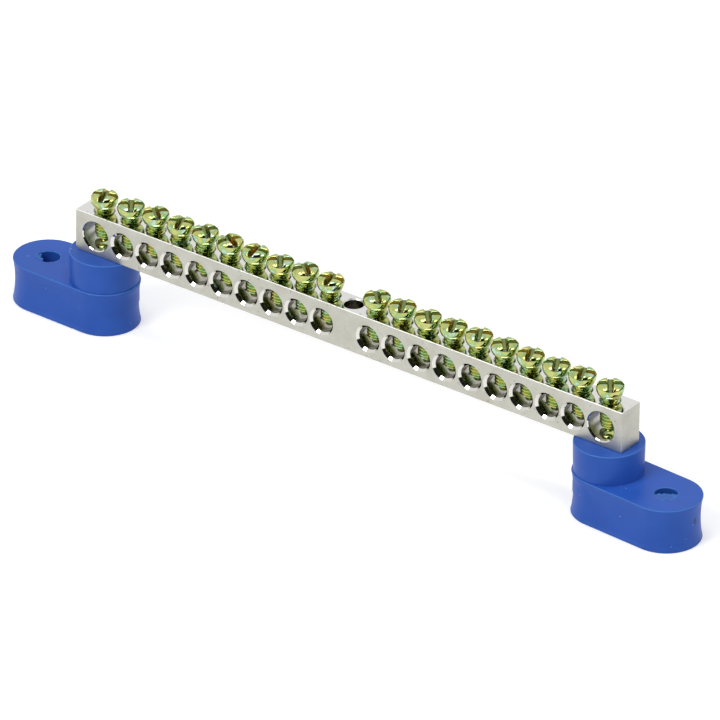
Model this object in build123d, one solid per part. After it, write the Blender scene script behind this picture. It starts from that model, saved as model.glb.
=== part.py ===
from build123d import *
from typing import NamedTuple
import os

# Lengths are in millimetres and angles in degrees. The bar runs along X, its front faces -Y,
# and the undersides of its two feet lie on Z = 0. X = 0 and Y = 0 are the middle of the bar.

# Bar: a drawn rectangular section, drilled across for the wires
bar_width = 6.0
bar_height = 9.0
holes_each_side = 9
hole_pitch = 6.3
end_hole_pitch = 6.8
centre_gap = 11.6
end_margin = 5.1
bar_edge_radius = 0.15
worn_edge_radius = 0.3
clipped_corner = 0.8

# Wire holes, through the bar from front to back
wire_hole_d = 4.9
end_hole_d = 6.3
hole_axis_height = 4.25
hole_rim_chamfer = 0.4

# Thread, the same for every screw: a plain shank in a plain wall stands for the fine thread
thread_d = 3.9
thread_pitch = 0.7
thread_clearance = 0.05
tap_rim_chamfer = 0.25
neck_d = 3.3
neck_length = 0.3

# Terminal screws
head_d = 5.7
head_height = 2.55
head_rim_height = 1.5
head_crown_d = 3.7
head_crown_drop = 0.05
head_seat_d = 4.8
screw_length = 8.25
tip_d = 2.0
tip_taper_length = 1.9

# Cross recess, cut right out through the rim of the head
recess_depth = 1.6
recess_rim_depth = 0.8
recess_floor_width = 0.55
recess_mouth_width = 1.2
recess_overcut = 0.4

# Turns by which each screw is backed out of the bar, from the left end to the right end
turns_out = (
    2.05, 2.25, 2.75, 2.6, 2.9, 2.75, 2.55, 2.25, 2.7, 2.45,
    2.4, 2.55, 2.25, 2.4, 2.55, 2.45, 2.4, 2.25, 2.45, 1.95,
)

# Angle of each cross to the bar, from the left end to the right end
cross_angles = (
    20, 37, 50, 22, 50, 62, 12, 37, 50, 15,
    45, 29, 42, 25, 29, 42, 23, 29, 23, 37,
)

# Insulating feet: a round boss on a stadium-shaped base with hollowed walls
foot_height = 16.0
base_height = 9.5
base_width = 14.8
base_waist_hollow = 0.45
boss_d = 14.3
boss_draft = 0.1
foot_edge_radius = 0.25
mounting_hole_offset = 14.6
mounting_hole_d = 4.6
mounting_hole_rim_radius = 0.3
left_foot_angle = 179.0
right_foot_angle = -3.5

# Foot fixing screws, up through the boss into the bar
fixing_bore_d = 4.4
counterbore_d = 8.6
fixing_head_d = 7.6
fixing_head_height = 2.6
fixing_head_rim_height = 1.1
fixing_head_crown_d = 6.1
fixing_head_crown_drop = 0.4
fixing_head_seat_d = 6.2
fixing_screw_length = 10.0
fixing_screw_reach = 1.5
fixing_tip_d = 2.9
fixing_tip_taper_length = 0.6

# Places that follow from the sizes above
tapped_d = thread_d + 2 * thread_clearance
inner_hole_x = centre_gap / 2
outer_hole_x = inner_hole_x + hole_pitch * (holes_each_side - 1)
end_hole_x = outer_hole_x + end_hole_pitch
bar_length = 2 * (end_hole_x + end_margin)
bar_top = foot_height + bar_height
hole_axis_z = foot_height + hole_axis_height
counterbore_depth = foot_height + fixing_screw_reach - fixing_screw_length


class ScrewForm(NamedTuple):
    head_d: float
    head_height: float
    rim_height: float
    crown_d: float
    crown_drop: float
    seat_d: float
    length: float
    tip_d: float
    taper_length: float


terminal_form = ScrewForm(
    head_d=head_d,
    head_height=head_height,
    rim_height=head_rim_height,
    crown_d=head_crown_d,
    crown_drop=head_crown_drop,
    seat_d=head_seat_d,
    length=screw_length,
    tip_d=tip_d,
    taper_length=tip_taper_length,
)

fixing_form = ScrewForm(
    head_d=fixing_head_d,
    head_height=fixing_head_height,
    rim_height=fixing_head_rim_height,
    crown_d=fixing_head_crown_d,
    crown_drop=fixing_head_crown_drop,
    seat_d=fixing_head_seat_d,
    length=fixing_screw_length,
    tip_d=fixing_tip_d,
    taper_length=fixing_tip_taper_length,
)


def terminal_places():
    # X of every terminal, from the left end to the right end
    right = [inner_hole_x + hole_pitch * step for step in range(holes_each_side)]
    right.append(end_hole_x)
    return [-x for x in reversed(right)] + right


def vertical_hole(x, diameter, bottom, top):
    depth = top - bottom
    return Pos(x, 0, bottom + depth / 2) * Cylinder(diameter / 2, depth)


def tap_rim(x, z, facing):
    # Cone that breaks the rim of a tapped hole; facing is 1 for the top face and -1 for the underside
    narrow = tapped_d / 2
    wide = narrow + tap_rim_chamfer
    if facing > 0:
        cone = Cone(narrow, wide, tap_rim_chamfer)
    else:
        cone = Cone(wide, narrow, tap_rim_chamfer)
    return Pos(x, 0, z - facing * tap_rim_chamfer / 2) * cone


def wire_hole(x, diameter):
    # One hole from front to back, with both rims broken
    narrow = diameter / 2
    wide = narrow + hole_rim_chamfer
    rim_distance = (bar_width - hole_rim_chamfer) / 2
    cutter = Cylinder(narrow, bar_width)
    cutter += Pos(0, 0, rim_distance) * Cone(narrow, wide, hole_rim_chamfer)
    cutter += Pos(0, 0, -rim_distance) * Cone(wide, narrow, hole_rim_chamfer)
    return Pos(x, 0, hole_axis_z) * Rot(-90, 0, 0) * cutter


def bar_blank():
    # The left end was sheared: its lower edge is cut away and its front edge is rubbed round
    blank = Pos(0, 0, foot_height + bar_height / 2) * Box(bar_length, bar_width, bar_height)
    left_end = blank.faces().sort_by(Axis.X)[0]
    lower_edge = left_end.edges().filter_by(Axis.Y).sort_by(Axis.Z)[0]
    blank = chamfer(lower_edge, clipped_corner)
    left_end = blank.faces().sort_by(Axis.X)[0]
    front_edge = left_end.edges().filter_by(Axis.Z).sort_by(Axis.Y)[0]
    blank = fillet(front_edge, worn_edge_radius)
    return fillet(blank.edges().filter_by(Axis.X), bar_edge_radius)


def busbar():
    bar = bar_blank()
    for x in terminal_places():
        bar -= wire_hole(x, end_hole_d if abs(x) == end_hole_x else wire_hole_d)
        bar -= vertical_hole(x, tapped_d, hole_axis_z, bar_top)
        bar -= tap_rim(x, bar_top, 1)
    bar -= vertical_hole(0, tapped_d, foot_height, bar_top)
    bar -= tap_rim(0, bar_top, 1)
    bar -= tap_rim(0, foot_height, -1)
    for x in (-end_hole_x, end_hole_x):
        bar -= vertical_hole(x, tapped_d, foot_height, hole_axis_z)
    return bar


def turned_screw(form):
    # Profile in the XZ plane: domed head above Z = 0, neck, shank and blunt point below
    rim = (form.head_d / 2, form.rim_height)
    crown = (form.crown_d / 2, form.head_height - form.crown_drop)
    thread_r = thread_d / 2
    neck_r = neck_d / 2
    with BuildSketch(Plane.XZ) as profile:
        with BuildLine():
            TangentArc((0, form.head_height), crown, tangent=(1, 0))
            TangentArc(rim, crown, tangent=(0, 1))
            TangentArc(rim, (form.seat_d / 2, 0), tangent=(0, -1))
            Polyline(
                (form.seat_d / 2, 0),
                (neck_r, 0),
                (neck_r, -neck_length),
                (thread_r, -neck_length - (thread_r - neck_r)),
                (thread_r, form.taper_length - form.length),
                (form.tip_d / 2, -form.length),
                (0, -form.length),
                (0, form.head_height),
            )
        make_face()
    return revolve(profile.sketch, Axis.Z)


def recess_section(distance, depth, top):
    # Cross-section of one arm of the recess, carried up past the head with the same sloping walls
    slope = (recess_mouth_width - recess_floor_width) / 2 / depth
    half_floor = recess_floor_width / 2
    half_top = half_floor + slope * (depth + recess_overcut)
    corners = (
        Vector(distance, -half_floor, top - depth),
        Vector(distance, half_floor, top - depth),
        Vector(distance, half_top, top + recess_overcut),
        Vector(distance, -half_top, top + recess_overcut),
    )
    return make_face(Polyline(*corners, close=True))


def cross_recess(form):
    # Four arms whose floors rise from the middle out past the rim
    middle = recess_section(0, recess_depth, form.head_height)
    outside = recess_section(form.head_d / 2 + recess_overcut, recess_rim_depth, form.head_height)
    arm = loft([middle, outside], ruled=True)
    cutter = arm
    for quarter in range(1, 4):
        cutter += Rot(0, 0, 90 * quarter) * arm
    return cutter


def cross_screw(form):
    return turned_screw(form) - cross_recess(form)


def base_section():
    # Half of the base seen from its end: the outer wall is hollowed between its two edges
    half = base_width / 2
    waist = half - base_waist_hollow
    with BuildSketch(Plane.XZ) as section:
        with BuildLine():
            ThreePointArc((half, 0), (waist, base_height / 2), (half, base_height))
            Polyline((half, base_height), (0, base_height), (0, 0), (half, 0))
        make_face()
        outer_corners = section.vertices().sort_by(Axis.X)[-2:]
        fillet(outer_corners, foot_edge_radius)
    return section.sketch


def foot_base():
    # The boss stands at X = 0 and the mounting hole at X = mounting_hole_offset
    section = base_section()
    round_end = revolve(section, Axis.Z)
    side = extrude(Rot(0, 0, 90) * section, mounting_hole_offset, dir=(1, 0, 0))
    other_side = Pos(mounting_hole_offset, 0, 0) * Rot(0, 0, 180) * side
    far_end = Pos(mounting_hole_offset, 0, 0) * round_end
    return round_end + side + other_side + far_end


def foot_boss():
    # Drafted boss, rooted half way down in the base
    top_r = boss_d / 2
    root_r = top_r - boss_draft
    with BuildSketch(Plane.XZ) as section:
        with BuildLine():
            Polyline(
                (0, base_height / 2),
                (root_r, base_height / 2),
                (root_r, base_height),
                (top_r, foot_height),
                (0, foot_height),
                close=True,
            )
        make_face()
        rim = section.vertices().group_by(Axis.Y)[-1].sort_by(Axis.X)[-1]
        fillet(rim, foot_edge_radius)
    return revolve(section.sketch, Axis.Z)


def rounded_mouth():
    # Ring cut from the top of the mounting hole, which leaves its mouth rounded
    hole_r = mounting_hole_d / 2
    reach = hole_r + mounting_hole_rim_radius
    low = base_height - mounting_hole_rim_radius
    with BuildSketch(Plane.XZ) as section:
        with BuildLine():
            RadiusArc((hole_r, low), (reach, base_height), mounting_hole_rim_radius)
            Polyline((reach, base_height), (0, base_height), (0, low), (hole_r, low))
        make_face()
    return Pos(mounting_hole_offset, 0, 0) * revolve(section.sketch, Axis.Z)


def insulating_foot():
    foot = foot_base() + foot_boss()
    foot -= vertical_hole(0, fixing_bore_d, counterbore_depth, foot_height)
    foot -= vertical_hole(0, counterbore_d, 0, counterbore_depth)
    foot -= vertical_hole(mounting_hole_offset, mounting_hole_d, 0, base_height)
    return foot - rounded_mouth()


def save(shape, name):
    export_step(shape, f"parts/{name}.step")


os.makedirs("parts", exist_ok=True)

save(busbar(), "busbar")

screw = cross_screw(terminal_form)
settings = zip(terminal_places(), turns_out, cross_angles)
for number, (x, turns, angle) in enumerate(settings, start=1):
    seat_z = bar_top + turns * thread_pitch
    save(Pos(x, 0, seat_z) * Rot(0, 0, angle) * screw, f"terminal_screw_{number:02d}")

foot = insulating_foot()
foot_screw = Pos(0, 0, counterbore_depth) * Rot(180, 0, 0) * cross_screw(fixing_form)
for side, x, angle in (("left", -end_hole_x, left_foot_angle), ("right", end_hole_x, right_foot_angle)):
    place = Pos(x, 0, 0) * Rot(0, 0, angle)
    save(place * foot, f"insulating_foot_{side}")
    save(place * foot_screw, f"foot_fixing_screw_{side}")
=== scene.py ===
import math
import random

import bmesh
import bpy
from mathutils import Matrix, Vector


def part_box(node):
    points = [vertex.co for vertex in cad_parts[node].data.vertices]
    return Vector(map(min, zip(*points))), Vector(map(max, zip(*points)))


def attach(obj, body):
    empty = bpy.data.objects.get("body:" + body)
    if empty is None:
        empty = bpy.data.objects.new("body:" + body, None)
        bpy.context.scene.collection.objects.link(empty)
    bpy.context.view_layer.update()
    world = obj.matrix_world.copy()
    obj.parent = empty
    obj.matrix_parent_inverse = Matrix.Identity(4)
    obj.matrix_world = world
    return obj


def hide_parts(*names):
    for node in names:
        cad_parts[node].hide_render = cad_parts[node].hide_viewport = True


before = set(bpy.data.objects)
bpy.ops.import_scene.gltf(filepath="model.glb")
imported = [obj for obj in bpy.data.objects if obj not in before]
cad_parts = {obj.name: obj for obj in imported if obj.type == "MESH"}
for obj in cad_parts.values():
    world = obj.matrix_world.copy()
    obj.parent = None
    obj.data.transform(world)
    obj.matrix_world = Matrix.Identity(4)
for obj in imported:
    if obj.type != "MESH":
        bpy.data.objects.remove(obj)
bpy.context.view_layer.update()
mm = 0.001  # sizes below are in millimetres, meshes in metres
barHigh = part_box("busbar")[1]
print("frame loaded")


# Wires: sockets that take plain arithmetic

class Wire:
    def __init__(self, graph, socket):
        self.graph = graph
        self.socket = socket

    def __add__(self, other):
        return self.graph.maths("ADD", self, other)

    __radd__ = __add__

    def __sub__(self, other):
        return self.graph.maths("SUBTRACT", self, other)

    def __rsub__(self, other):
        return self.graph.maths("SUBTRACT", other, self)

    def __mul__(self, other):
        return self.graph.maths("MULTIPLY", self, other)

    __rmul__ = __mul__

    def __truediv__(self, other):
        return self.graph.maths("DIVIDE", self, other)

    def __rtruediv__(self, other):
        return self.graph.maths("DIVIDE", other, self)

    def output(self, name):
        return Wire(self.graph, self.socket.node.outputs[name])


class Graph:
    def __init__(self, tree):
        self.tree = tree

    def node(self, kind, settings=None, **sockets):
        # socket names are given with _ for a space, or as in0, in1 for a place in the list
        made = self.tree.nodes.new(kind)
        for name, value in (settings or {}).items():
            if name == "stops":
                self.ramp(made, value)
            else:
                setattr(made, name, value)
        for name, value in sockets.items():
            key = int(name[2:]) if name[:2] == "in" and name[2:].isdigit() else name.replace("_", " ")
            for each in value if isinstance(value, list) else [value]:
                if isinstance(each, Wire):
                    self.tree.links.new(each.socket, made.inputs[key])
                else:
                    made.inputs[key].default_value = each
        return Wire(self, made.outputs[0]) if made.outputs else made

    def ramp(self, made, stops):
        elements = made.color_ramp.elements
        while len(elements) < len(stops):
            elements.new(0.5)
        for element, (place, value) in zip(elements, stops):
            element.position = place
            element.color = (*value, 1)

    def maths(self, operation, first, second=0.0):
        return self.node("ShaderNodeMath", {"operation": operation}, in0=first, in1=second)

    def spread(self, value, low, high, newLow=0.0, newHigh=1.0):
        # stretches low..high to newLow..newHigh and clamps it there
        return self.node(
            "ShaderNodeMapRange", {"clamp": True},
            Value=value, From_Min=low, From_Max=high, To_Min=newLow, To_Max=newHigh,
        )

    def blend(self, share, first, second):
        # mixes two colours, each of them a wire or a plain (red, green, blue)
        first, second = [(*value, 1) if isinstance(value, tuple) else value for value in (first, second)]
        made = self.node("ShaderNodeMix", {"data_type": "RGBA"}, in0=share, in6=first, in7=second)
        return Wire(self, made.socket.node.outputs[2])

    def noise(self, where, scale, detail=2.0, roughness=0.5):
        return self.node("ShaderNodeTexNoise", Vector=where, Scale=scale, Detail=detail, Roughness=roughness)

    def stretched(self, where, scales):
        return self.node("ShaderNodeMapping", Vector=where, Scale=scales)

    def facingUp(self):
        # 1 where the surface faces up, 0 on a wall
        normal = self.node("ShaderNodeTexCoord").output("Normal")
        return self.node("ShaderNodeSeparateXYZ", Vector=normal).output("Z")

    def bump(self, height, distance, strength=1.0, **under):
        return self.node("ShaderNodeBump", Height=height, Distance=distance, Strength=strength, **under)


def newMaterial(name, build, **constants):
    material = bpy.data.materials.new(name)
    material.use_nodes = True
    graph = Graph(material.node_tree)
    shader = material.node_tree.nodes["Principled BSDF"]
    for socket, value in constants.items():
        shader.inputs[socket.replace("_", " ")].default_value = value
    where = graph.node("ShaderNodeTexCoord").output("Object")
    for socket, wire in build(graph, where).items():
        graph.tree.links.new(wire.socket, shader.inputs[socket.replace("_", " ")])
    return material


# Finishes

# levels between which most of a noise lies
noiseSpan = (0.3, 0.7)
blotchSpan = (0.35, 0.7)

nickelLook = {
    "light": (0.54, 0.535, 0.48),
    "warm": (0.48, 0.47, 0.41),
    # top: painted reflection, a lighter colour for faces that look up at the bright backdrop
    "top": (0.71, 0.705, 0.685),
    "speck": (0.22, 0.20, 0.16),
    # edge: painted highlight, the lighter colour of faces that tilt up, such as the rounded edges
    "edge": (0.80, 0.79, 0.77),
    "roughness": (0.42, 0.52),
    "topRoughness": 0.05,
    "topFacing": (0.80, 0.97),
    "edgeFacing": (0.15, 0.40),
    "drawnLines": (60, 4500, 4500),
    "grainScale": 9000.0,
    "cloudScale": 260.0,
    "speckScale": 1500.0,
    "speckLevels": (0.70, 0.76),
    "speckShare": 0.6,
    "lineBump": 0.002 * mm,
    "grainBump": 0.004 * mm,
    "topLineFade": 0.7,
    "topGrainFade": 0.9,
}

# the reaches run from the bar's faces and ends to the inner and outer edge of a zone
boreLook = {
    # light and dull: darker than the bar's faces, a painted shade inside the holes
    "light": (0.46, 0.45, 0.40),
    "dull": (0.28, 0.27, 0.23),
    "endHoles": (0.62, 0.61, 0.56),
    # chamfer: painted highlight, the lighter colour of the chamfers at the hole mouths
    "chamfer": (0.68, 0.67, 0.62),
    "roughness": (0.10, 0.22),
    "dullRoughness": 0.2,
    "chamferPolish": 0.7,
    "chamferReach": (0.52 * mm, 0.48 * mm),
    "tapChamferReach": (0.28 * mm, 0.24 * mm),
    "endHoleReach": (9.0 * mm, 8.7 * mm),
    "endHoleShare": 0.8,
    "toolMarks": (900, 5200, 900),
    "markBump": 0.004 * mm,
}

zincLook = {
    "mint": (0.45, 0.63, 0.47),
    "green": (0.30, 0.43, 0.19),
    "lime": (0.42, 0.51, 0.16),
    "yellow": (0.56, 0.52, 0.19),
    "brown": (0.42, 0.19, 0.03),
    # shade: painted shade on the floor of the cross recess
    "shade": (0.15, 0.20, 0.06),
    "patchSize": 1.5 * mm,
    "roughness": (0.07, 0.16),
    "smearScale": 2600.0,
    "recessShare": 0.85,
    "floorFacing": (0.4, 0.85),
    "stainScale": 500.0,
    "stainLevels": (0.42, 0.56),
    "rippleScale": 1500.0,
    "ripple": 0.008 * mm,
}

plasticLook = {
    "blue": (0.016, 0.082, 0.41),
    "pale": (0.023, 0.098, 0.46),
    "speck": (0.20, 0.27, 0.55),
    # edge: painted highlight, the lighter blue of the rounded edges
    "edge": (0.055, 0.18, 0.50),
    "roughness": (0.36, 0.50),
    "specular": 0.25,
    "cloudScale": 120.0,
    "edgeShare": 0.8,
    "edgeFacing": (0.15, 0.40),
    "topFacing": (0.85, 0.97),
    "speckScale": 1100.0,
    "speckLevels": (0.86, 0.88),
    "speckShare": 0.5,
    "grainScale": 3200.0,
    "grain": 0.006 * mm,
    "sinkScale": 70.0,
    "sink": 0.25 * mm,
    "sinkStrength": 0.6,
    "stain": (0.02, 0.035, 0.12),
    "stainInset": 0.45 * mm,
    "stainAside": -0.7 * mm,  # a little towards the front
    "stainHeight": 5.55 * mm,
    "stainSize": (0.9 * mm, 0.45 * mm, 0.75 * mm),
    "stainEdge": (0.7, 1.2),
    "stainShare": 0.9,
}

skinLook = {
    "deep": (0.010, 0.095, 0.40),
    "thin": (0.035, 0.20, 0.56),
    "cloudScale": 900.0,
    "cloudLevels": (0.5, 0.72),
    "ripple": 0.05 * mm,
    "roughness": (0.30, 0.45),
}


def nickel(graph, where):
    look = nickelLook
    lines = graph.noise(graph.stretched(where, look["drawnLines"]), 1.0, 3.0)
    grain = graph.noise(where, look["grainScale"])
    cloud = graph.noise(where, look["cloudScale"], 4.0, 0.6)
    facing = graph.facingUp()
    onTop = graph.spread(facing, *look["topFacing"])
    onEdge = graph.spread(facing, *look["edgeFacing"]) * (1.0 - onTop)
    specks = graph.spread(graph.noise(where, look["speckScale"], 1.0), *look["speckLevels"])
    base = graph.blend(graph.spread(cloud, *blotchSpan), look["light"], look["warm"])
    # painted reflection: faces that look up get the lighter top colour
    base = graph.blend(onTop, base, look["top"])
    # painted highlight: faces that tilt up but are not the top, such as the rounded edges, get a lighter
    # colour
    base = graph.blend(onEdge, base, look["edge"])
    rough = graph.spread(lines * 0.5 + cloud * 0.5, *noiseSpan, *look["roughness"])
    bump = graph.bump(lines * (1.0 - onTop * look["topLineFade"]), look["lineBump"])
    return {
        "Base_Color": graph.blend(specks * look["speckShare"], base, look["speck"]),
        "Roughness": rough + onTop * (look["topRoughness"] - rough),
        "Normal": graph.bump(grain * (1.0 - onTop * look["topGrainFade"]), look["grainBump"], Normal=bump),
    }


def within(graph, value, corner, reach):
    # 1 where a place along an axis lies closer to the bar's corner than the reach
    return graph.spread(value, corner - reach[0], corner - reach[1])


def polishedBore(graph, where):
    look = boreLook
    marks = graph.noise(graph.stretched(where, look["toolMarks"]), 1.0)
    place = graph.node("ShaderNodeSeparateXYZ", Vector=where)
    along, across = [graph.maths("ABSOLUTE", place.output(axis)) for axis in "XY"]
    nearFace = within(graph, across, barHigh.y, look["chamferReach"])
    nearTop = within(graph, place.output("Z"), barHigh.z, look["tapChamferReach"])
    # painted shade: the bores' colours are darker than the bar's faces; the larger holes at the ends get a
    # lighter colour inside, and are rougher
    atEnd = within(graph, along, barHigh.x, look["endHoleReach"])
    base = graph.blend(graph.spread(marks, *blotchSpan), look["light"], look["dull"])
    base = graph.blend(atEnd * look["endHoleShare"], base, look["endHoles"])
    polish = 1.0 - nearFace * look["chamferPolish"]
    dull = graph.maths("MAXIMUM", nearTop, atEnd * (1.0 - nearFace)) * look["dullRoughness"]
    return {
        # painted highlight: the chamfers at the mouths of the holes get a lighter colour
        "Base_Color": graph.blend(graph.maths("MAXIMUM", nearFace, nearTop), base, look["chamfer"]),
        "Roughness": graph.spread(marks, *noiseSpan, *look["roughness"]) * polish + dull,
        "Normal": graph.bump(marks, look["markBump"]),
    }


def yellowZinc(graph, where):
    look = zincLook
    patches = graph.noise(where, 1 / look["patchSize"], 2.0, 0.55)
    stops = [(0.34, look["mint"]), (0.44, look["green"]), (0.52, look["lime"]), (0.62, look["yellow"])]
    ramp = graph.node("ShaderNodeValToRGB", {"stops": stops}, Fac=patches)
    inRecess = graph.node("ShaderNodeAttribute", {"attribute_name": "recess"}).output("Fac")
    onWall = 1.0 - graph.spread(graph.facingUp(), *look["floorFacing"])
    stain = graph.spread(graph.noise(where, look["stainScale"], 1.0), *look["stainLevels"])
    # painted shade: the recess floor is darkened, and its walls are brown in patches
    paintedShadeAndBrown = graph.blend(onWall * stain, look["shade"], look["brown"])
    smears = graph.noise(where, look["smearScale"])
    return {
        "Base_Color": graph.blend(inRecess * look["recessShare"], ramp, paintedShadeAndBrown),
        "Roughness": graph.spread(smears, *noiseSpan, *look["roughness"]),
        "Normal": graph.bump(graph.noise(where, look["rippleScale"]), look["ripple"]),
    }


def bluePlastic(graph, where):
    look = plasticLook
    cloud = graph.noise(where, look["cloudScale"], 3.0)
    specks = graph.spread(graph.noise(where, look["speckScale"], 0.0), *look["speckLevels"])
    facing = graph.facingUp()
    onEdge = graph.spread(facing, *look["edgeFacing"]) * graph.spread(facing, *look["topFacing"], 1, 0)
    base = graph.blend(graph.spread(cloud, *blotchSpan), look["blue"], look["pale"])
    base = graph.blend(specks * look["speckShare"], base, look["speck"])
    # painted highlight: faces that tilt between the walls and the tops, along the rounded edges, get a
    # lighter blue
    base = graph.blend(onEdge * look["edgeShare"], base, look["edge"])
    # a dark oval mark on the outer end of the right foot
    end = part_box("insulating_foot_right")[1]
    middle = (end.x - look["stainInset"], look["stainAside"], look["stainHeight"])
    away = graph.node("ShaderNodeVectorMath", {"operation": "SUBTRACT"}, in0=where, in1=middle)
    away = graph.node("ShaderNodeVectorMath", {"operation": "DIVIDE"}, in0=away, in1=look["stainSize"])
    away = graph.node("ShaderNodeVectorMath", {"operation": "LENGTH"}, in0=away).output("Value")
    stained = graph.spread(away, *look["stainEdge"], look["stainShare"], 0)
    sink = graph.bump(graph.noise(where, look["sinkScale"], 1.0), look["sink"], look["sinkStrength"])
    return {
        "Base_Color": graph.blend(stained, base, look["stain"]),
        "Roughness": graph.spread(cloud, *noiseSpan, *look["roughness"]),
        "Normal": graph.bump(graph.noise(where, look["grainScale"]), look["grain"], Normal=sink),
    }


def mouldingSkin(graph, where):
    look = skinLook
    cloud = graph.noise(where, look["cloudScale"])
    return {
        "Base_Color": graph.blend(graph.spread(cloud, *look["cloudLevels"]), look["deep"], look["thin"]),
        "Roughness": graph.spread(cloud, *noiseSpan, *look["roughness"]),
        "Normal": graph.bump(cloud, look["ripple"]),
    }


nickelFinish = newMaterial("satinNickel", nickel, Metallic=1.0)
boreFinish = newMaterial("polishedBore", polishedBore, Metallic=1.0)
zincFinish = newMaterial("yellowZinc", yellowZinc, Metallic=1.0)
plasticFinish = newMaterial("blueMoulding", bluePlastic, Specular_IOR_Level=plasticLook["specular"])
skinFinish = newMaterial("mouldingSkin", mouldingSkin, Specular_IOR_Level=plasticLook["specular"])
print("finishes made")


# Mesh helpers

def newPiece(name, mesh):
    piece = bpy.data.objects.new(name, mesh)
    bpy.context.scene.collection.objects.link(piece)
    return piece


def meshFrom(name, points, faces):
    mesh = bpy.data.meshes.new(name)
    mesh.from_pydata([tuple(value * mm for value in point) for point in points], [], faces)
    mesh.validate()
    return mesh


mergeDistance = 0.002 * mm


def cleaned(mesh):
    # merges what coincides and turns every face outwards
    shape = bmesh.new()
    shape.from_mesh(mesh)
    bmesh.ops.remove_doubles(shape, verts=shape.verts, dist=mergeDistance)
    bmesh.ops.recalc_face_normals(shape, faces=shape.faces)
    shape.to_mesh(mesh)
    shape.free()
    return mesh


def joined(piece, mesh, material):
    # adds a closed mesh to the piece under one of the piece's own materials
    shape = bmesh.new()
    shape.from_mesh(piece.data)
    before = len(shape.faces)
    shape.from_mesh(mesh)
    shape.faces.ensure_lookup_table()
    slot = max(0, piece.data.materials.find(material.name))
    for face in shape.faces[before:]:
        face.material_index = slot
    shape.to_mesh(piece.data)
    shape.free()


def between(first, last, steps):
    # evenly spaced values after the first one, up to the last
    return [first + (last - first) * step / steps for step in range(1, steps + 1)]


def arc(centre, radius, first, last, steps):
    # points on an arc, angles in degrees
    points = []
    for step in range(steps + 1):
        angle = math.radians(first + (last - first) * step / steps)
        points.append((centre[0] + radius * math.cos(angle), centre[1] + radius * math.sin(angle)))
    return points


def lathe(name, profile, segments=96):
    # turns a closed profile of (radius, height) points about Z; both its ends are on the axis
    points, faces = [], []
    for radius, height in profile:
        for step in range(segments):
            angle = 2 * math.pi * step / segments
            points.append((radius * math.cos(angle), radius * math.sin(angle), height))
    for row in range(len(profile) - 1):
        for step in range(segments):
            here, there = row * segments + step, row * segments + (step + 1) % segments
            faces.append((here, there, there + segments, here + segments))
    return cleaned(meshFrom(name, points, faces))


def settle(piece):
    # turns the piece's modifiers into plain mesh
    evaluated = piece.evaluated_get(bpy.context.evaluated_depsgraph_get())
    mesh = bpy.data.meshes.new_from_object(evaluated)
    piece.modifiers.clear()
    piece.data = mesh
    return piece


def cut(piece, cutter, operation="DIFFERENCE"):
    change = piece.modifiers.new("cut", "BOOLEAN")
    change.operation = operation
    change.solver = "EXACT"
    change.object = cutter
    change.material_mode = "TRANSFER"
    settle(piece)
    bpy.data.objects.remove(cutter)


smoothAngles = {"screw": 40, "bar": 30, "foot": 28}


def smooth(piece, angle):
    # edges that turn by more than the angle stay sharp
    piece.data.shade_smooth()
    piece.data.set_sharp_from_angle(angle=math.radians(angle))
    weight = piece.modifiers.new("weight", "WEIGHTED_NORMAL")
    weight.keep_sharp = True
    settle(piece)


def treeInputs(tree, inputs):
    tree.interface.new_socket("Geometry", in_out="OUTPUT", socket_type="NodeSocketGeometry")
    tree.interface.new_socket("Geometry", in_out="INPUT", socket_type="NodeSocketGeometry")
    for label, kind in inputs.items():
        tree.interface.new_socket(label, in_out="INPUT", socket_type="NodeSocket" + kind)


def runTree(piece, tree, values):
    # sets the inputs by identifier before the piece is first evaluated, then makes it plain mesh
    change = piece.modifiers.new(tree.name, "NODES")
    change.node_group = tree
    for item in tree.interface.items_tree:
        if item.in_out == "INPUT" and item.name in values:
            change[item.identifier] = values[item.name]
    settle(piece)


# Screws: a turned body with a cross recess, and a thread swept along a helix

threadSize = {
    "diameter": 3.9,
    "rootDiameter": 3.04,
    "pitch": 0.7,
    "crestWidth": 0.13,
    "footWidth": 1.7,  # in pitches: neighbouring turns meet inside the core
    "fade": 1 / 16,  # share of the length over which each end grows from its faded size
    "fadedSize": 0.02,
    "stepsPerTurn": 36,
}

terminalScrew = {
    "headDiameter": 5.7,
    "headHeight": 2.55,
    "rimHeight": 1.5,
    "crownDiameter": 3.7,
    "crownDrop": 0.05,
    "seatDiameter": 4.8,
    "length": 8.25,
    "tipDiameter": 2.0,
    "taperLength": 1.9,
}

fixingScrew = {
    "headDiameter": 7.6,
    "headHeight": 2.6,
    "rimHeight": 1.1,
    "crownDiameter": 6.1,
    "crownDrop": 0.4,
    "seatDiameter": 6.2,
    "length": 10.0,
    "tipDiameter": 2.9,
    "taperLength": 0.6,
}

crossRecess = {
    "depth": 1.6,
    "rimDepth": 0.8,
    "rimOvercut": 0.4,
    "floorWidth": 0.55,
    "mouthWidth": 1.2,
    "edgeRounding": 0.28,
    "edgeShares": (0.08, 0.3, 0.65, 1.0),  # where a rounded edge has its points
    "cornerRounding": 0.3,
    "roundingShare": 0.8,  # of the depth, at most
    "fullDepth": 0.5,  # from here down the recess has all of its painted shade and brown
}

neck = {"diameter": 3.3, "length": 0.3, "filletAcross": 0.1, "filletDown": 0.06, "taper": 0.12}
tipEdge = {"height": 0.12, "shoulder": 0.15, "flat": 0.3}

# the tip stops short of the solid's, so that nothing overlaps at the end of the travel
tipRelief = 0.03
threadRunOut = 0.4  # from the solid's tip up to the end of the thread

headSteps = {"shoulder": 12, "crown": 10, "recess": 4, "lobe": 6, "underside": 7}

# angle of each cross to the bar, left to right
crossAngles = (20, 37, 50, 22, 50, 62, 12, 37, 50, 15, 45, 29, 42, 25, 29, 42, 23, 29, 23, 37)


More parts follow.
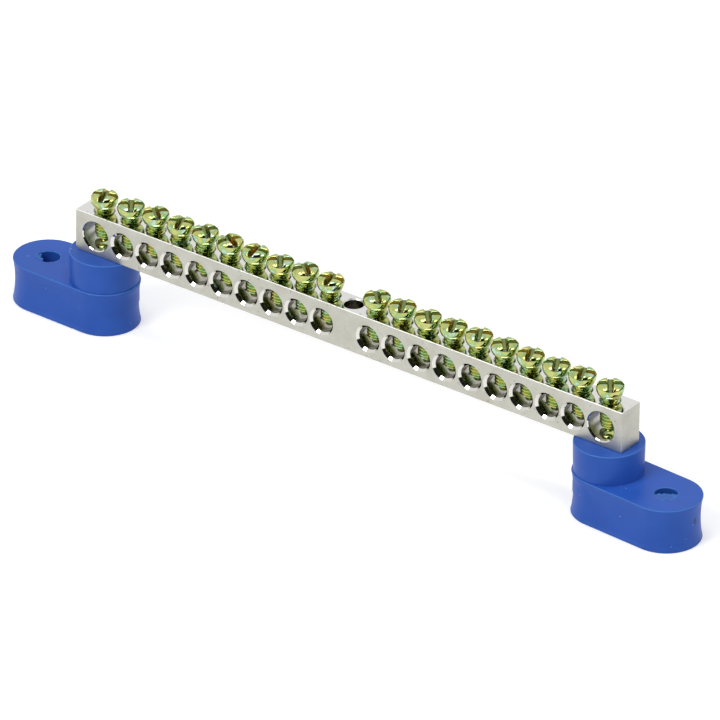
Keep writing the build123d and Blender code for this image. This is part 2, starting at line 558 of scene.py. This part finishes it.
def tangentArc(start, end, steps, up):
    # arc that leaves start straight up or down and ends at end
    across, along = start[0] - end[0], end[1] - start[1]
    radius = (across ** 2 + along ** 2) / (2 * across)
    centre = (start[0] - radius, start[1])
    sweep = math.degrees(math.asin(min(1, abs(along) / radius)))
    return arc(centre, radius, 0, sweep if up else -sweep, steps)


def recessFloor(form, distance):
    share = distance / (form["headDiameter"] / 2 + crossRecess["rimOvercut"])
    depth = crossRecess["depth"] + (crossRecess["rimDepth"] - crossRecess["depth"]) * share
    return form["headHeight"] - depth


def recessEdge(form, radius, height):
    # half width of an arm of the recess where its walls meet the outside of the head
    halfFloor, halfMouth = crossRecess["floorWidth"] / 2, crossRecess["mouthWidth"] / 2
    floor = recessFloor(form, radius)
    lean = (halfMouth - halfFloor) / (form["headHeight"] - floor)
    return halfFloor + lean * max(0, height - floor)


def recessHeight(form, x, y, height):
    # height of the head at a point: the recess has a flat floor, leaning walls and rounded edges
    far, near = max(abs(x), abs(y)), min(abs(x), abs(y))
    floor = recessFloor(form, far)
    edge = recessEdge(form, far, height)
    halfFloor, corner = crossRecess["floorWidth"] / 2, crossRecess["cornerRounding"]
    rounding = min(crossRecess["edgeRounding"], max(0, height - floor) * crossRecess["roundingShare"])
    inward = near - edge
    if inward > 0 and far - edge < corner:
        inward = corner - math.hypot(corner - inward, corner - (far - edge))
    if inward >= rounding:
        return height
    if inward >= 0:
        return height - rounding + math.sqrt(rounding ** 2 - (rounding - inward) ** 2)
    ledge = height - rounding
    if near <= halfFloor or ledge <= floor:
        return min(floor, ledge)
    share = (near - halfFloor) / max(1e-6, edge - halfFloor)
    return floor + (ledge - floor) * max(0, min(1, share))


def headRings(form):
    # (radius, height) of the outside of the head, from the rim to the edge of the recess
    rim = (form["headDiameter"] / 2, form["rimHeight"])
    crown = (form["crownDiameter"] / 2, form["headHeight"] - form["crownDrop"])
    shoulder = tangentArc(rim, crown, headSteps["shoulder"], True)
    domeRadius = (crown[0] ** 2 + form["crownDrop"] ** 2) / (2 * form["crownDrop"])
    corner = crossRecess["mouthWidth"] / 2 * math.sqrt(2)
    inner = crossRecess["floorWidth"] / 2 * math.sqrt(2)
    radii = between(crown[0], corner, headSteps["crown"]) + between(corner, inner, headSteps["recess"])
    dome = [(r, form["headHeight"] - domeRadius + math.sqrt(domeRadius ** 2 - r ** 2)) for r in radii]
    return shoulder + dome


def columnPlaces(form, radius, height):
    # angles of one ring's points: crowded at the walls of the recess and even between them
    rounding = crossRecess["edgeRounding"]
    halfFloor = crossRecess["floorWidth"] / 2
    edge = max(halfFloor, recessEdge(form, radius, height))
    offsets = [0, halfFloor, edge] + [edge + rounding * share for share in crossRecess["edgeShares"]]
    limit = radius * math.sqrt(0.5)
    half = [math.asin(min(offset, limit) / radius) for offset in offsets]
    first, last = half[-1], math.pi / 2 - half[-1]
    lobe = between(first, last, headSteps["lobe"])[:-1]
    return half + lobe + [math.pi / 2 - angle for angle in reversed(half[1:])]


def screwBody(name, form):
    # rings from the middle of the recess, over the rim and down the core to the tip
    points, recessed = [], []
    rings = list(reversed(headRings(form)))
    for radius, height in rings:
        for quarter in range(4):
            for angle in columnPlaces(form, radius, height):
                z = recessHeight(form, radius * math.cos(angle), radius * math.sin(angle), height)
                turn = angle + quarter * math.pi / 2
                points.append((radius * math.cos(turn), radius * math.sin(turn), z))
                # how deep a point lies in the recess, which sets its painted shade
                recessed.append(min(1.0, max(0.0, (height - z) / crossRecess["fullDepth"])))
    columns = 4 * len(columnPlaces(form, *rings[-1]))
    rim = points[-columns:]
    core, tip, end = threadSize["rootDiameter"] / 2, form["tipDiameter"] / 2, tipRelief - form["length"]
    taperTop = form["taperLength"] - form["length"]
    neckRadius = neck["diameter"] / 2
    seat = (form["seatDiameter"] / 2, 0)
    outside = (form["headDiameter"] / 2, form["rimHeight"])
    lower = tangentArc(outside, seat, headSteps["underside"], False)[1:]
    lower += [(neckRadius + neck["filletAcross"], 0), (neckRadius, -neck["filletDown"])]
    lower += [(neckRadius, -neck["length"]), (core, -neck["length"] - neck["taper"]), (core, taperTop)]
    lower += [(tip - tipEdge["shoulder"], end + tipEdge["height"]), (tip - tipEdge["flat"], end)]
    for radius, height in lower:
        for x, y, z in rim:
            share = radius * 2 / form["headDiameter"]
            points.append((x * share, y * share, height))
            recessed.append(0.0)
    top, bottom = len(points), len(points) + 1
    points += [(0, 0, recessFloor(form, 0)), (0, 0, end)]
    recessed += [1.0, 0.0]
    rows = len(rings) + len(lower)
    faces = []
    for column in range(columns):
        beside = (column + 1) % columns
        faces.append((top, column, beside))
        last = (rows - 1) * columns
        faces.append((bottom, last + beside, last + column))
        for row in range(rows - 1):
            here = row * columns
            faces.append((here + column, here + columns + column, here + columns + beside, here + beside))
    mesh = meshFrom(name, points, faces)
    # the recess attribute carries the painted shade of the recess to the finish
    mark = mesh.attributes.new("recess", "FLOAT", "POINT")
    mark.data.foreach_set("value", recessed)
    return cleaned(mesh)


def threadTree():
    # the thread: a trapezoid swept along a spiral that fades at both ends and narrows at the tip
    tree = bpy.data.node_groups.new("threadedScrew", "GeometryNodeTree")
    treeInputs(tree, {
        "Thread Radius": "Float", "Root Radius": "Float", "Pitch": "Float", "Crest Width": "Float",
        "Top": "Float", "Bottom": "Float", "Taper Start": "Float", "Tip Radius": "Float",
        "Steps": "Int", "Place": "Vector", "Turn": "Float", "Finish": "Material",
    })
    graph = Graph(tree)
    given = graph.node("NodeGroupInput")
    depth = given.output("Thread Radius") - given.output("Root Radius")
    height = given.output("Top") - given.output("Bottom")
    spiral = graph.node(
        "GeometryNodeCurveSpiral",
        Resolution=given.output("Steps"), Rotations=height / given.output("Pitch"),
        Start_Radius=given.output("Root Radius"), End_Radius=given.output("Root Radius"), Height=height,
    )
    place = graph.node("GeometryNodeInputPosition")
    x, y, z = [graph.node("ShaderNodeSeparateXYZ", Vector=place).output(axis) for axis in "XYZ"]
    level = z + given.output("Bottom")
    narrowed = given.output("Tip Radius") / given.output("Thread Radius")
    taper = graph.spread(level, given.output("Bottom"), given.output("Taper Start"), narrowed)
    moved = graph.node(
        "GeometryNodeSetPosition", Geometry=spiral,
        Position=graph.node("ShaderNodeCombineXYZ", X=x * taper, Y=y * taper, Z=level),
    )
    along = graph.node("GeometryNodeSplineParameter").output("Factor")
    fade = graph.maths("MINIMUM", along, 1.0 - along)
    fade = graph.spread(fade, 0.0, threadSize["fade"], threadSize["fadedSize"])
    upright = graph.node("GeometryNodeSetCurveNormal", {"mode": "Z_UP"}, Curve=moved)
    ridge = graph.node(
        "GeometryNodeCurvePrimitiveQuadrilateral", {"mode": "TRAPEZOID"},
        Height=depth * 2.0, Bottom_Width=given.output("Pitch") * threadSize["footWidth"],
        Top_Width=given.output("Crest Width"), Offset=0.0,
    )
    turned = graph.node("GeometryNodeTransform", Geometry=ridge, Rotation=(0, 0, math.pi / 2))
    swept = graph.node(
        "GeometryNodeCurveToMesh", Curve=upright, Profile_Curve=turned, Scale=fade, Fill_Caps=True,
    )
    joined = graph.node("GeometryNodeJoinGeometry", Geometry=[swept, given.output("Geometry")])
    placed = graph.node(
        "GeometryNodeTransform", Geometry=joined, Translation=given.output("Place"),
        Rotation=graph.node("ShaderNodeCombineXYZ", Z=given.output("Turn")),
    )
    real = graph.node("GeometryNodeRealizeInstances", Geometry=placed)
    finished = graph.node("GeometryNodeSetMaterial", Geometry=real, Material=given.output("Finish"))
    graph.node("NodeGroupOutput", Geometry=finished)
    return tree


def screwValues(form, place, turn):
    return {
        "Thread Radius": threadSize["diameter"] / 2 * mm,
        "Root Radius": threadSize["rootDiameter"] / 2 * mm,
        "Pitch": threadSize["pitch"] * mm,
        "Crest Width": threadSize["crestWidth"] * mm,
        "Top": -neck["length"] * mm,
        "Bottom": (threadRunOut - form["length"]) * mm,
        "Taper Start": (form["taperLength"] - form["length"]) * mm,
        "Tip Radius": form["tipDiameter"] / 2 * mm,
        "Steps": threadSize["stepsPerTurn"],
        "Place": place,
        "Turn": math.radians(turn),
        "Finish": zincFinish,
    }


def terminalScrews():
    body = screwBody("terminalScrewBody", terminalScrew)
    tree = threadTree()
    names = sorted(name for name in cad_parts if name.startswith("terminal_screw"))
    places = []
    for name, turn in zip(names, crossAngles):
        low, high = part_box(name)
        seat = Vector(((low.x + high.x) / 2, (low.y + high.y) / 2, low.z + terminalScrew["length"] * mm))
        screw = newPiece(name.replace("terminal_", "detailed_"), body.copy())
        runTree(screw, tree, screwValues(terminalScrew, seat, turn))
        smooth(screw, smoothAngles["screw"])
        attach(screw, name)
        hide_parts(name)
        places.append(seat)
    return tree, places


screwTree, screwPlaces = terminalScrews()
print("terminal screws made")


# Bar: a drawn section with its left end clipped, drilled and tapped in rows

barShape = {
    "edgeRadius": 0.15,
    "wornEdgeRadius": 0.22,
    "clippedCorner": 0.8,
    "wireHole": 4.9,
    "endHole": 6.3,
    "holeAxisHeight": 4.25,
    "holeChamfer": 0.5,
    "endHoleChamfer": 0.2,
    "tap": 4.0,
    "tapChamfer": 0.25,
    "tapMinor": 3.34,
    "overshoot": 0.5,  # in chamfers: cross drills widen on past the bar's faces
    "bevelSteps": 4,
    "drillSteps": 72,
    "tapSteps": 64,
}


def barBlank(low, high):
    # outline seen from the front, carried back through the width
    clip = barShape["clippedCorner"] * mm
    outline = [
        (low.x + clip, low.z), (high.x, low.z), (high.x, high.z), (low.x, high.z), (low.x, low.z + clip),
    ]
    shape = bmesh.new()
    front = shape.faces.new([shape.verts.new((x, low.y, z)) for x, z in outline])
    grown = bmesh.ops.extrude_face_region(shape, geom=[front])["geom"]
    bmesh.ops.translate(
        shape, verts=[part for part in grown if isinstance(part, bmesh.types.BMVert)],
        vec=(0, high.y - low.y, 0),
    )
    bmesh.ops.recalc_face_normals(shape, faces=shape.faces)
    weights = shape.edges.layers.float.new("bevel_weight_edge")
    near = 0.001 * mm
    for edge in shape.edges:
        # the front's upper and left edges are worn
        atLeft, atFront, atTop = [
            all(abs(end.co[axis] - level) < near for end in edge.verts)
            for axis, level in enumerate((low.x, low.y, high.z))
        ]
        worn = atFront and (atLeft or atTop)
        edge[weights] = 1.0 if worn else barShape["edgeRadius"] / barShape["wornEdgeRadius"]
    mesh = bpy.data.meshes.new("barBlank")
    shape.to_mesh(mesh)
    shape.free()
    mesh.materials.append(nickelFinish)
    bar = newPiece("detailed_busbar", mesh)
    bevel = bar.modifiers.new("edges", "BEVEL")
    bevel.limit_method = "WEIGHT"
    bevel.width = barShape["wornEdgeRadius"] * mm
    bevel.segments = barShape["bevelSteps"]
    return settle(bar)


def crossDrill(name, diameter, chamfer, width):
    # cutter for a wire hole: a rod along Y that widens at both faces
    radius, half, past = diameter / 2, width / 2, barShape["overshoot"]
    mouth = (radius + (1 + past) * chamfer, half + past * chamfer)
    profile = [(0, mouth[1]), mouth, (radius, half - chamfer)]
    profile += [(r, -z) for r, z in reversed(profile)]
    mesh = lathe(name, profile, barShape["drillSteps"])
    mesh.transform(Matrix.Rotation(math.pi / 2, 4, "X"))
    return mesh


def tapDrill(name, depth, through):
    # cutter for a tapped hole: a rod along Z that widens at the top, and below if it goes through
    radius, chamfer = barShape["tap"] / 2, barShape["tapChamfer"]
    mouth = radius + 2 * chamfer
    profile = [(0, chamfer), (mouth, chamfer), (radius, -chamfer)]
    if through:
        profile += [(radius, chamfer - depth), (mouth, -chamfer - depth), (0, -chamfer - depth)]
    else:
        profile += [(radius, -depth), (0, -depth)]
    return lathe(name, profile, barShape["tapSteps"])


def drillTree():
    # cuts a row of equal holes: copies of the cutter stand on a line of points
    tree = bpy.data.node_groups.new("drillRow", "GeometryNodeTree")
    treeInputs(tree, {
        "Cutter": "Object", "Count": "Int", "First": "Vector", "Step": "Vector", "Finish": "Material",
    })
    graph = Graph(tree)
    given = graph.node("NodeGroupInput")
    row = graph.node(
        "GeometryNodeMeshLine", {"mode": "OFFSET"},
        Count=given.output("Count"), Start_Location=given.output("First"), Offset=given.output("Step"),
    )
    cutter = graph.node("GeometryNodeObjectInfo", Object=given.output("Cutter")).output("Geometry")
    copies = graph.node("GeometryNodeInstanceOnPoints", Points=row, Instance=cutter)
    real = graph.node("GeometryNodeRealizeInstances", Geometry=copies)
    finished = graph.node("GeometryNodeSetMaterial", Geometry=real, Material=given.output("Finish"))
    drilled = graph.node(
        "GeometryNodeMeshBoolean", {"operation": "DIFFERENCE", "solver": "EXACT"},
        Mesh_1=given.output("Geometry"), Mesh_2=finished,
    )
    graph.node("NodeGroupOutput", Geometry=drilled)
    return tree


def drillRow(bar, tree, mesh, level, first, step, count):
    cutter = newPiece("cutter", mesh)
    runTree(bar, tree, {
        "Cutter": cutter, "Count": count, "Finish": boreFinish,
        "First": Vector((first, 0, level)), "Step": Vector((step, 0, 0)),
    })
    bpy.data.objects.remove(cutter)


def drillRows(bar, tree, mesh, level):
    # a hole for each screw but the outer two, in two rows with a gap between them
    half = len(screwPlaces) // 2
    for row in (screwPlaces[1:half], screwPlaces[half:-1]):
        step = (row[-1].x - row[0].x) / (len(row) - 1)
        drillRow(bar, tree, mesh, level, row[0].x, step, len(row))


def busbar():
    low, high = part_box("busbar")
    bar = barBlank(low, high)
    tree = drillTree()
    width, height = (high.y - low.y) / mm, (high.z - low.z) / mm
    axis = low.z + barShape["holeAxisHeight"] * mm
    left, right = screwPlaces[0].x, screwPlaces[-1].x
    drillRows(bar, tree, crossDrill("wireDrill", barShape["wireHole"], barShape["holeChamfer"], width), axis)
    large = crossDrill("endDrill", barShape["endHole"], barShape["endHoleChamfer"], width)
    drillRow(bar, tree, large, axis, left, right - left, 2)
    drillRows(bar, tree, tapDrill("tapDrill", height - barShape["holeAxisHeight"], False), high.z)
    # both ends and the middle, which lies at zero, are tapped right through
    drillRow(bar, tree, tapDrill("throughDrill", height, True), high.z, left, right, 3)
    innerThread(bar, high)
    smooth(bar, smoothAngles["bar"])
    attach(bar, "bar_on_feet")
    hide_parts("busbar")


def innerThread(bar, high):
    # the screws' thread turned inside out: its crest is nearer the axis than its root
    thread = newPiece("innerThread", bpy.data.meshes.new("innerThread"))
    values = screwValues(terminalScrew, Vector((0, 0, high.z)), 0)
    values["Root Radius"] = barShape["tap"] / 2 * mm
    values["Thread Radius"] = values["Tip Radius"] = barShape["tapMinor"] / 2 * mm
    values["Top"] = -2 * barShape["tapChamfer"] * mm  # below the chamfer
    values["Finish"] = boreFinish
    runTree(thread, screwTree, values)
    joined(bar, cleaned(thread.data), boreFinish)
    bpy.data.objects.remove(thread)


busbar()
print("bar made")


# Feet: a stadium-shaped base with hollowed walls, a round boss and a mounting hole

footShape = {
    "height": 16.0,
    "baseHeight": 9.5,
    "baseWidth": 14.7,
    "waistHollow": 0.45,
    "bossDiameter": 14.3,
    "bossDraft": 0.1,
    "edgeRadius": 0.25,
    "holeOffset": 14.6,
    "holeDiameter": 4.6,
    "holeRimRadius": 0.3,
    "boreDiameter": 4.4,
    "counterboreDiameter": 8.6,
    "counterboreDepth": 7.5,
}

footTurns = {"left": 179.0, "right": -3.5}

footSteps = {"edge": 4, "wall": 14, "rim": 5, "end": 40, "straight": 8, "boss": 128}

# moulding skins: each runs along an arc from a wall to a ragged edge; angles are seen from above,
# and a reach below zero runs towards the middle of the arc
skins = {
    "left": [
        {
            "hole": True, "radius": 2.45, "reach": -1.2, "level": 9.5,
            "angles": (185, 272), "ragged": 0.6, "seed": 4,
        },
        {
            "hole": True, "radius": 2.30, "reach": 0.7, "level": 9.62,
            "angles": (182, 236), "ragged": 0.7, "seed": 9,
        },
        {
            "hole": False, "radius": 7.0, "reach": 0.42, "level": 9.62,
            "angles": (-14, 16), "ragged": 0.8, "seed": 2,
        },
    ],
    "right": [
        {
            "hole": True, "radius": 2.5, "arch": 0.45, "level": 9.3,
            "angles": (-143, 37), "ragged": 0.6, "seed": 7,
        },
    ],
}
skinForm = {"thickness": 0.15, "droop": 0.1, "stepDegrees": 5, "endSwell": 0.06, "endPower": 0.25}

rimWear = {"radius": 2.55, "slope": 0.9, "depth": 0.3, "aside": 0.65, "angle": -53}

nick = {"radius": 0.28, "height": 0.4, "fromBoss": 2.4}

# cutters reach this far past the surface they cut
boreOverlap = 0.5
rimOverlap = 1.0


def baseRows():
    # (distance from the outline's middle line, height) from the underside to the top
    form = footShape
    half, radius, top = form["baseWidth"] / 2, form["edgeRadius"], form["baseHeight"]
    hollow = form["waistHollow"]
    bend = ((top / 2) ** 2 + hollow ** 2) / (2 * hollow)
    centre = half - hollow + bend
    rows = arc((half - radius, radius), radius, -90, 0, footSteps["edge"])
    for step in range(1, footSteps["wall"]):
        height = radius + (top - 2 * radius) * step / footSteps["wall"]
        rows.append((centre - math.sqrt(bend ** 2 - (height - top / 2) ** 2), height))
    return rows + arc((half - radius, top - radius), radius, 0, 90, footSteps["edge"])


def stadium(radius, offset):
    # outline points: a half circle, a straight side, a half circle, a straight side
    points = []
    straights = footSteps["straight"]
    for middle, first in ((offset, -90), (0, 90)):
        points += arc((middle, 0), radius, first, first + 180, footSteps["end"])
        away = 1 if first < 0 else -1
        for step in range(1, straights):
            share = step / straights if away < 0 else 1 - step / straights
            points.append((offset * share, away * radius))
    return points


def footBase():
    points, faces = [], []
    rows = baseRows()
    columns = len(stadium(1, 1))
    for radius, height in rows:
        points += [(x, y, height) for x, y in stadium(radius, footShape["holeOffset"])]
    for row in range(len(rows) - 1):
        for column in range(columns):
            here, beside = row * columns + column, row * columns + (column + 1) % columns
            faces.append((here, beside, beside + columns, here + columns))
    faces.append(tuple(reversed(range(columns))))
    faces.append(tuple(range(len(points) - columns, len(points))))
    return cleaned(meshFrom("footBase", points, faces))


def footBoss():
    form = footShape
    top, radius = form["bossDiameter"] / 2, form["edgeRadius"]
    root = form["baseHeight"] / 2
    profile = [(0, root), (top - form["bossDraft"], root), (top - form["bossDraft"], form["baseHeight"])]
    profile += arc((top - radius, form["height"] - radius), radius, 0, 90, footSteps["edge"])
    return lathe("footBoss", profile + [(0, form["height"])], footSteps["boss"])


def rod(name, radius, bottom, top):
    return lathe(name, [(0, bottom), (radius, bottom), (radius, top), (0, top)])


def mountingDrill():
    form = footShape
    radius, rim, top = form["holeDiameter"] / 2, form["holeRimRadius"], form["baseHeight"]
    mouth = [(radius + rim - x, top - rim + z) for x, z in arc((0, 0), rim, 0, 90, footSteps["rim"])]
    profile = [(0, -rimOverlap), (radius, -rimOverlap)] + mouth
    profile += [(radius + rim, top + rimOverlap), (0, top + rimOverlap)]
    mesh = lathe("mountingDrill", profile)
    mesh.transform(Matrix.Translation((form["holeOffset"] * mm, 0, 0)))
    return mesh


def wornRim(turn):
    # cutter for the slope where the right foot's hole rim is worn towards its sheet
    form, wear = footShape, rimWear
    floor, top = form["baseHeight"] - wear["depth"], form["baseHeight"]
    profile = [(0, floor), (wear["radius"] - wear["slope"], floor)]
    profile += [(wear["radius"], top), (0, top + rimOverlap)]
    mesh = lathe("wornRim", profile)
    angle = math.radians(wear["angle"] - turn)
    x, y = form["holeOffset"] + wear["aside"] * math.cos(angle), wear["aside"] * math.sin(angle)
    mesh.transform(Matrix.Translation((x * mm, y * mm, 0)))
    return mesh


def skin(values, turn):
    # a thin ragged strip, its angles turned back into the foot's own directions
    shuffle = random.Random(values["seed"])
    first, last = values["angles"]
    steps = max(8, int(abs(last - first) / skinForm["stepDegrees"]))
    middle = footShape["holeOffset"] if values["hole"] else 0
    centre = math.radians((first + last) / 2 - turn)
    towards = Vector((math.cos(centre), math.sin(centre)))
    low = skinForm["endSwell"]
    points, faces = [], []
    for step in range(steps + 1):
        angle = math.radians(first + (last - first) * step / steps - turn)
        swell = math.sin(math.pi * (low + (1 - 2 * low) * step / steps))
        droop = skinForm["droop"] * shuffle.random()
        ragged = values["ragged"] * shuffle.random()
        top, bottom = values["level"], values["level"] - skinForm["thickness"]
        wall = values["radius"] * Vector((math.cos(angle), math.sin(angle)))
        if "arch" in values:
            # a sheet that fills the half of the hole inside the arc
            edge = wall - (wall.dot(towards) + values["arch"] * swell - ragged) * towards
        else:
            reach = values["reach"] * (1 - ragged) * swell ** skinForm["endPower"]
            edge = wall * (1 + reach / values["radius"])
        for spot, height in ((wall, top), (edge, top - droop), (edge, bottom - droop / 2), (wall, bottom)):
            points.append((middle + spot.x, spot.y, height))
        if step:
            for side in range(4):
                here, beside = 4 * step + side, 4 * step + (side + 1) % 4
                faces.append((here, beside, beside - 4, here - 4))
    faces += [(0, 1, 2, 3), tuple(4 * steps + side for side in (3, 2, 1, 0))]
    return cleaned(meshFrom("skin", points, faces))


def footPlace(side, height):
    # from the middle of a foot's boss, at the origin, to where the foot stands
    x = screwPlaces[0].x if side == "left" else screwPlaces[-1].x
    return Matrix.Translation((x, 0, height)) @ Matrix.Rotation(math.radians(footTurns[side]), 4, "Z")


def foot(side):
    form = footShape
    piece = newPiece(f"detailed_foot_{side}", footBase())
    cut(piece, newPiece("boss", footBoss()), "UNION")
    bottom, top = form["counterboreDepth"] - boreOverlap, form["height"] + boreOverlap
    cut(piece, newPiece("bore", rod("bore", form["boreDiameter"] / 2, bottom, top)))
    counterbore = rod("counterbore", form["counterboreDiameter"] / 2, -boreOverlap, form["counterboreDepth"])
    cut(piece, newPiece("counterbore", counterbore))
    cut(piece, newPiece("mounting", mountingDrill()))
    if side == "left":
        chip = rod("nick", nick["radius"], -rimOverlap, nick["height"])
        chip.transform(Matrix.Translation((nick["fromBoss"] * mm, form["baseWidth"] / 2 * mm, 0)))
        cut(piece, newPiece("nick", chip))
    else:
        cut(piece, newPiece("wornRim", wornRim(footTurns[side])))
    piece.data.materials.clear()
    piece.data.materials.append(plasticFinish)
    piece.data.materials.append(skinFinish)
    for values in skins[side]:
        joined(piece, skin(values, footTurns[side]), skinFinish)
    piece.data.transform(footPlace(side, 0))
    smooth(piece, smoothAngles["foot"])
    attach(piece, "bar_on_feet")
    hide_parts(f"insulating_foot_{side}")


def fixing(side):
    screw = newPiece(f"detailed_fixing_{side}", screwBody("fixingScrewBody", fixingScrew))
    runTree(screw, screwTree, screwValues(fixingScrew, Vector((0, 0, 0)), 0))
    seat = footPlace(side, footShape["counterboreDepth"] * mm)
    screw.data.transform(seat @ Matrix.Rotation(math.pi, 4, "X"))
    smooth(screw, smoothAngles["screw"])
    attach(screw, "bar_on_feet")
    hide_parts(f"foot_fixing_screw_{side}")


for side in ("left", "right"):
    foot(side)
    fixing(side)
print("feet made")


# Studio: floor, lights and camera

studio = {
    "floorColour": (0.84, 0.84, 0.84),
    "floorRoughness": 0.9,
    "floorLift": 0.34,
    "floorReach": 4.0,
    "worldStrength": 0.45,
    "lamps": {
        "left": {"place": (-0.17, -0.68, 0.713), "size": 0.42, "power": 4.1},
        "right": {"place": (0.845, 0.18, 0.50), "size": 0.40, "power": 1.5},
        "top": {"place": (0.03, -0.04, 0.998), "size": 0.45, "power": 2.6},
    },
    "gap": {"halfWidth": 0.60, "halfHeight": 0.60, "softness": 0.05, "strength": 0.015},
    "darkSide": {"start": 0.60, "full": 0.75, "top": 0.22, "softness": 0.12},
}

photoCamera = {
    "azimuth": 36.958,
    "elevation": 29.074,
    "roll": 0.590,
    "distance": 2319.42,
    "focalPixels": 11670.3,
    "imagePixels": 720,
    "sensorWidth": 36.0,
    "farthest": 20.0,
    "asideRight": -1.318,
    "asideUp": 3.301,
}


def cameraAxes():
    # right, up and ahead, as the camera sees them
    view = photoCamera
    azimuth, elevation, roll = (math.radians(view[key]) for key in ("azimuth", "elevation", "roll"))
    ahead = Vector((
        -math.sin(azimuth) * math.cos(elevation),
        math.cos(azimuth) * math.cos(elevation),
        -math.sin(elevation),
    ))
    level = ahead.cross(Vector((0, 0, 1))).normalized()
    upright = level.cross(ahead)
    right = level * math.cos(roll) + upright * math.sin(roll)
    up = upright * math.cos(roll) - level * math.sin(roll)
    return right, up, ahead


def paleFloor(graph, where):
    # lifted towards white only where the camera or a mirror sees it
    rays = graph.node("ShaderNodeLightPath")
    seen = graph.maths("MAXIMUM", rays.output("Is Camera Ray"), rays.output("Is Glossy Ray"))
    return {"Emission_Strength": seen * studio["floorLift"]}


def makeFloor():
    mesh = bpy.data.meshes.new("floor")
    reach = studio["floorReach"]
    corners = [(x * reach, y * reach, 0) for x, y in ((-1, -1), (1, -1), (1, 1), (-1, 1))]
    mesh.from_pydata(corners, [], [(0, 1, 2, 3)])
    mesh.materials.append(newMaterial(
        "paleFloor", paleFloor, Base_Color=(*studio["floorColour"], 1),
        Roughness=studio["floorRoughness"], Emission_Color=(1, 1, 1, 1),
    ))
    floor = newPiece("floor", mesh)


def makeBackdrop():
    world = bpy.data.worlds.new("studioWorld")
    bpy.context.scene.world = world
    world.use_nodes = True
    graph = Graph(world.node_tree)
    rays = graph.node("ShaderNodeLightPath")
    # metal shows the white backdrop, with the dark gap between the soft lights where the camera stands
    gap = studio["gap"]
    right, up, ahead = cameraAxes()
    towards = graph.node("ShaderNodeTexCoord").output("Generated")
    dots = [
        graph.node("ShaderNodeVectorMath", {"operation": "DOT_PRODUCT"}, in0=towards, in1=axis)
        for axis in (right, up, -ahead)
    ]
    aside, above, behind = [dot.output("Value") for dot in dots]
    dark = graph.maths("GREATER_THAN", behind, 0.0)
    for away, half in ((aside, gap["halfWidth"]), (above, gap["halfHeight"])):
        dark = dark * graph.spread(graph.maths("ABSOLUTE", away), half, half + gap["softness"], 1, 0)
    # and a dark wall stands low at the right
    wall = studio["darkSide"]
    level = graph.node("ShaderNodeSeparateXYZ", Vector=towards).output("Z")
    low = graph.spread(level, wall["top"], wall["top"] + wall["softness"], 1, 0)
    dark = graph.maths("MAXIMUM", dark, graph.spread(aside, wall["start"], wall["full"]) * low)
    mirrored = graph.spread(dark, 0, 1, 1.0, gap["strength"])
    background = world.node_tree.nodes["Background"]
    background.inputs["Color"].default_value = (1, 1, 1, 1)
    plain = studio["worldStrength"]
    strength = plain + (mirrored - plain) * rays.output("Is Glossy Ray")
    strength = strength + (1.0 - strength) * rays.output("Is Camera Ray")
    graph.tree.links.new(strength.socket, background.inputs["Strength"])


def makeLamps():
    for name, values in studio["lamps"].items():
        lamp = bpy.data.lights.new(name, "AREA")
        lamp.shape = "SQUARE"
        lamp.size = values["size"]
        lamp.energy = values["power"]
        piece = bpy.data.objects.new(name, lamp)
        bpy.context.scene.collection.objects.link(piece)
        piece.location = values["place"]
        piece.rotation_euler = (-Vector(values["place"])).to_track_quat("-Z", "Y").to_euler()


def makeCamera():
    view = photoCamera
    right, up, ahead = cameraAxes()
    place = -(view["asideRight"] * right + view["asideUp"] * up + view["distance"] * ahead) * mm
    place += Vector((0, 0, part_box("busbar")[0].z))
    lens = bpy.data.cameras.new("photoCamera")
    lens.sensor_width = view["sensorWidth"]
    lens.lens = view["focalPixels"] / view["imagePixels"] * lens.sensor_width
    lens.clip_end = view["farthest"]
    camera = bpy.data.objects.new("photoCamera", lens)
    bpy.context.scene.collection.objects.link(camera)
    turn = Matrix((right, up, -ahead)).transposed().to_4x4()
    camera.matrix_world = Matrix.Translation(place) @ turn
    bpy.context.scene.camera = camera


makeFloor()
makeBackdrop()
makeLamps()
makeCamera()
bpy.context.scene.view_settings.view_transform = "Standard"
print("studio made")
